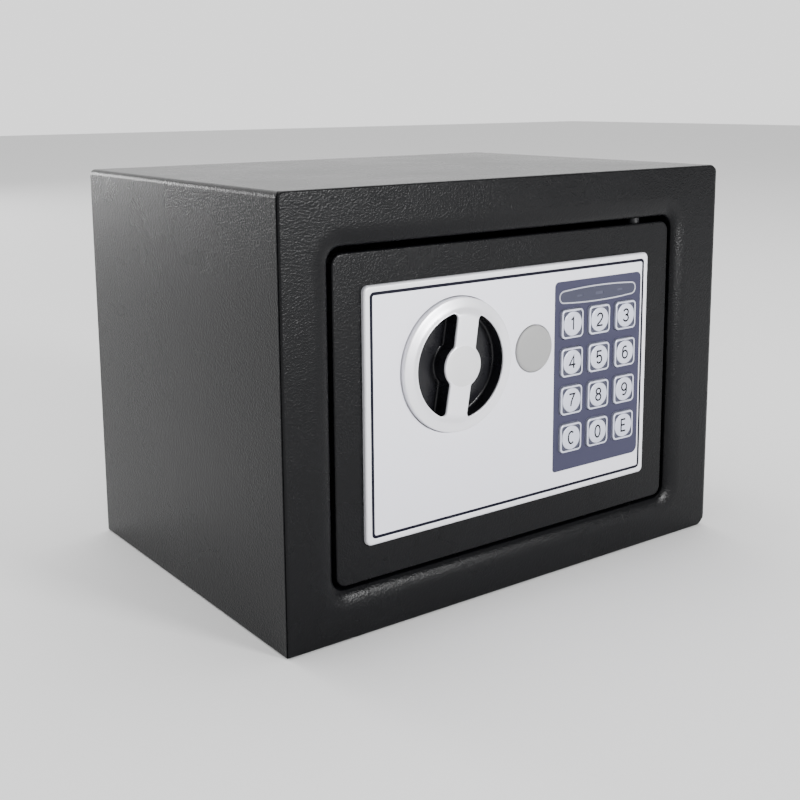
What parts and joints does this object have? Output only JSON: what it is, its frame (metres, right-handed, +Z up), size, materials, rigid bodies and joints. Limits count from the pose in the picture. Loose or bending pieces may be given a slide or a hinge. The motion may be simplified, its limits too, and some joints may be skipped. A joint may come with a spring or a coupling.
{
  "type": "electronic keypad safe",
  "caption": "Small steel box safe with a recessed hinged door, keypad fascia, turning knob that throws side bolts, and a covered emergency lock.",
  "frame": {"origin": "centre of the bounding box in plan, at the underside of the casing", "axes": "+X to the right seen from the front, -Y towards the viewer out of the door, +Z up"},
  "size_m": [0.23, 0.169, 0.17],
  "materials": {
    "black_powder_coat": "semi-gloss textured powder coat",
    "zinc_steel": "bright zinc plating",
    "ground_steel": "ground and polished",
    "grey_primer": "thin matt primer",
    "brass": "turned",
    "felt": "short pile",
    "silver_paint_plastic": "satin silver paint",
    "knob_silver": "fine satin silver paint",
    "black_plastic": "fine spark texture",
    "inlay_navy": "semi-gloss",
    "slate_plate": "satin",
    "window_slate": "smooth tinted lens",
    "key_silver": "satin metallic",
    "cap_grey": "matt",
    "led_lens": "clear tinted",
    "circuit_board": "solder mask",
    "coil_tape": "varnished winding tape",
    "spring_steel": "drawn wire",
    "nickel_strip": "nickel plated",
    "cell_jacket": "printed film jacket without lettering",
    "wire_sleeve": "PVC sleeve",
    "red_plastic": "smooth"
  },
  "bodies": {
    "casing": {"case_wrap": "black_powder_coat", "back_panel": "black_powder_coat", "front_frame": "black_powder_coat", "hinge_bushes": "brass", "door_stops": "black_powder_coat", "floor_mat": "felt"},
    "door": {"door_plate": "black_powder_coat", "door_backplate": "grey_primer", "hinge_lugs": "black_powder_coat", "hinge_pins": "ground_steel", "fascia_bezel": "silver_paint_plastic", "fascia_inlay": "inlay_navy", "faceplate": "silver_paint_plastic", "keypad_plate": "slate_plate", "indicator_window": "window_slate", "status_leds": "led_lens", "control_board": "circuit_board", "key_switches": "black_plastic", "buzzer": "black_plastic", "m3_screws": "zinc_steel", "bolt_guides": "zinc_steel", "guide_studs": "zinc_steel", "solenoid_frame": "zinc_steel", "solenoid_coil": "coil_tape", "spindle_bush": "brass", "lock_housing": "zinc_steel", "lock_nut": "zinc_steel", "battery_box": "black_plastic", "battery_contacts": "nickel_strip", "batteries": "cell_jacket", "inner_cover": "black_plastic", "reset_switch": "black_plastic", "wiring_loom": "wire_sleeve"},
    "knob": {"knob_body": "black_plastic", "knob_face": "knob_silver", "knob_spindle": "ground_steel", "drive_cam": "zinc_steel", "spindle_screw": "zinc_steel"},
    "bolt_carriage": {"bolt_plate": "zinc_steel", "locking_bolts": "ground_steel"},
    "plunger": {"solenoid_plunger": "ground_steel", "plunger_spring": "spring_steel"},
    "lock_cap": {"key_cover": "cap_grey"},
    "lock_core": {"lock_plug": "brass", "lock_cam": "zinc_steel"},
    "battery_lid": {"battery_cover": "black_plastic"},
    "reset": {"reset_button": "red_plastic"},
    "button_1": {"key_1": "key_silver"},
    "button_2": {"key_2": "key_silver"},
    "button_3": {"key_3": "key_silver"},
    "button_4": {"key_4": "key_silver"},
    "button_5": {"key_5": "key_silver"},
    "button_6": {"key_6": "key_silver"},
    "button_7": {"key_7": "key_silver"},
    "button_8": {"key_8": "key_silver"},
    "button_9": {"key_9": "key_silver"},
    "button_c": {"key_c": "key_silver"},
    "button_0": {"key_0": "key_silver"},
    "button_e": {"key_e": "key_silver"}
  },
  "joints": [
    {"name": "door_hinge", "type": "hinge", "parent": "casing", "child": "door", "pos_m": [0.0698, -0.0716, 0.085], "axis": [0, 0, 1], "range_deg": [0, 100]},
    {"name": "knob_turn", "type": "hinge", "parent": "door", "child": "knob", "pos_m": [-0.0359, -0.0805, 0.0988], "axis": [0, -1, 0], "range_deg": [0, 80]},
    {"name": "bolt_slide", "type": "slide", "parent": "door", "child": "bolt_carriage", "axis": [-1, 0, 0], "range_m": [0, 0.0116]},
    {"name": "plunger_slide", "type": "slide", "parent": "door", "child": "plunger", "axis": [0, 0, 1], "range_m": [0, 0.004], "deforming": ["plunger_spring"]},
    {"name": "lock_cap_pull", "type": "slide", "parent": "door", "child": "lock_cap", "axis": [0, -1, 0], "range_m": [0, 0.015]},
    {"name": "lock_turn", "type": "hinge", "parent": "door", "child": "lock_core", "pos_m": [0.0045, -0.0705, 0.0997], "axis": [0, -1, 0], "range_deg": [0, 90]},
    {"name": "battery_lid_lift", "type": "slide", "parent": "door", "child": "battery_lid", "axis": [0, 1, 0], "range_m": [0, 0.015]},
    {"name": "reset_press", "type": "slide", "parent": "door", "child": "reset", "axis": [0, -1, 0], "range_m": [0, 0.0015], "stiffness_N_per_m": 400},
    {"name": "press_1", "type": "slide", "parent": "door", "child": "button_1", "axis": [0, 1, 0], "range_m": [0, 0.0005], "stiffness_N_per_m": 3000},
    {"name": "press_2", "type": "slide", "parent": "door", "child": "button_2", "axis": [0, 1, 0], "range_m": [0, 0.0005], "stiffness_N_per_m": 3000},
    {"name": "press_3", "type": "slide", "parent": "door", "child": "button_3", "axis": [0, 1, 0], "range_m": [0, 0.0005], "stiffness_N_per_m": 3000},
    {"name": "press_4", "type": "slide", "parent": "door", "child": "button_4", "axis": [0, 1, 0], "range_m": [0, 0.0005], "stiffness_N_per_m": 3000},
    {"name": "press_5", "type": "slide", "parent": "door", "child": "button_5", "axis": [0, 1, 0], "range_m": [0, 0.0005], "stiffness_N_per_m": 3000},
    {"name": "press_6", "type": "slide", "parent": "door", "child": "button_6", "axis": [0, 1, 0], "range_m": [0, 0.0005], "stiffness_N_per_m": 3000},
    {"name": "press_7", "type": "slide", "parent": "door", "child": "button_7", "axis": [0, 1, 0], "range_m": [0, 0.0005], "stiffness_N_per_m": 3000},
    {"name": "press_8", "type": "slide", "parent": "door", "child": "button_8", "axis": [0, 1, 0], "range_m": [0, 0.0005], "stiffness_N_per_m": 3000},
    {"name": "press_9", "type": "slide", "parent": "door", "child": "button_9", "axis": [0, 1, 0], "range_m": [0, 0.0005], "stiffness_N_per_m": 3000},
    {"name": "press_c", "type": "slide", "parent": "door", "child": "button_c", "axis": [0, 1, 0], "range_m": [0, 0.0005], "stiffness_N_per_m": 3000},
    {"name": "press_0", "type": "slide", "parent": "door", "child": "button_0", "axis": [0, 1, 0], "range_m": [0, 0.0005], "stiffness_N_per_m": 3000},
    {"name": "press_e", "type": "slide", "parent": "door", "child": "button_e", "axis": [0, 1, 0], "range_m": [0, 0.0005], "stiffness_N_per_m": 3000}
  ],
  "couplings": [
    {"joint": "bolt_slide", "follows": "knob_turn", "m_per_rad": 0.008286}
  ]
}
